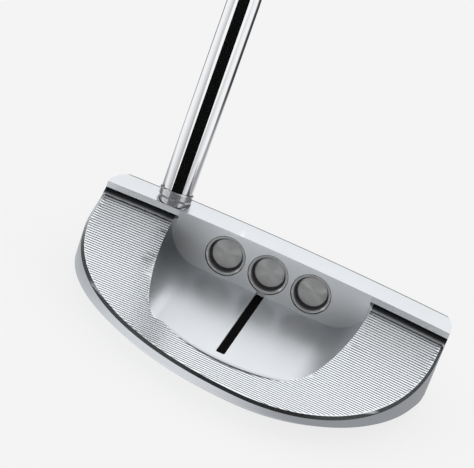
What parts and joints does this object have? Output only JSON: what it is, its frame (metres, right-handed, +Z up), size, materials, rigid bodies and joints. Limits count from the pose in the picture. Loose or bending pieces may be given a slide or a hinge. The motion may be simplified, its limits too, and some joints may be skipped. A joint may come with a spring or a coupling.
{
  "type": "mallet putter",
  "caption": "Right-handed mallet putter: milled steel head with an open D-shaped pocket, alignment dots and sight line, double-bend chrome shaft and a pistol-shaped rubber grip",
  "frame": {"origin": "on the ground, at the flat of the sole plate, under the plane of the sight line", "axes": "+X heel to toe, +Y toward the target (the way the face looks), +Z up; the club stands at address"},
  "size_m": [0.3637, 0.0898, 0.8246],
  "materials": {
    "head_steel": "bead-blasted and fine end-milled stainless steel",
    "dot_insert_steel": "lathe-turned bright steel",
    "line_paint": "black resin fill",
    "sole_aluminium": "fine-milled aluminium",
    "screw_steel": "dark steel screw",
    "weight_steel": "turned stainless steel",
    "collar_steel": "turned steel",
    "shaft_chrome": "bright chrome plate",
    "grip_tape": "double-sided cloth tape",
    "grip_rubber": "matte black rubber"
  },
  "bodies": {
    "root": {"head_body": "head_steel", "dot_insert_heel": "dot_insert_steel", "dot_insert_center": "dot_insert_steel", "dot_insert_toe": "dot_insert_steel", "sight_line_fill": "line_paint", "sole_plate": "sole_aluminium", "sole_screw_1": "screw_steel", "sole_screw_2": "screw_steel", "sole_screw_3": "screw_steel", "sole_screw_4": "screw_steel", "sole_weight_heel": "weight_steel", "sole_weight_toe": "weight_steel", "shaft_collar": "collar_steel", "shaft": "shaft_chrome", "grip_tape": "grip_tape", "grip_sleeve": "grip_rubber", "grip_cap": "grip_rubber"}
  },
  "joints": []
}
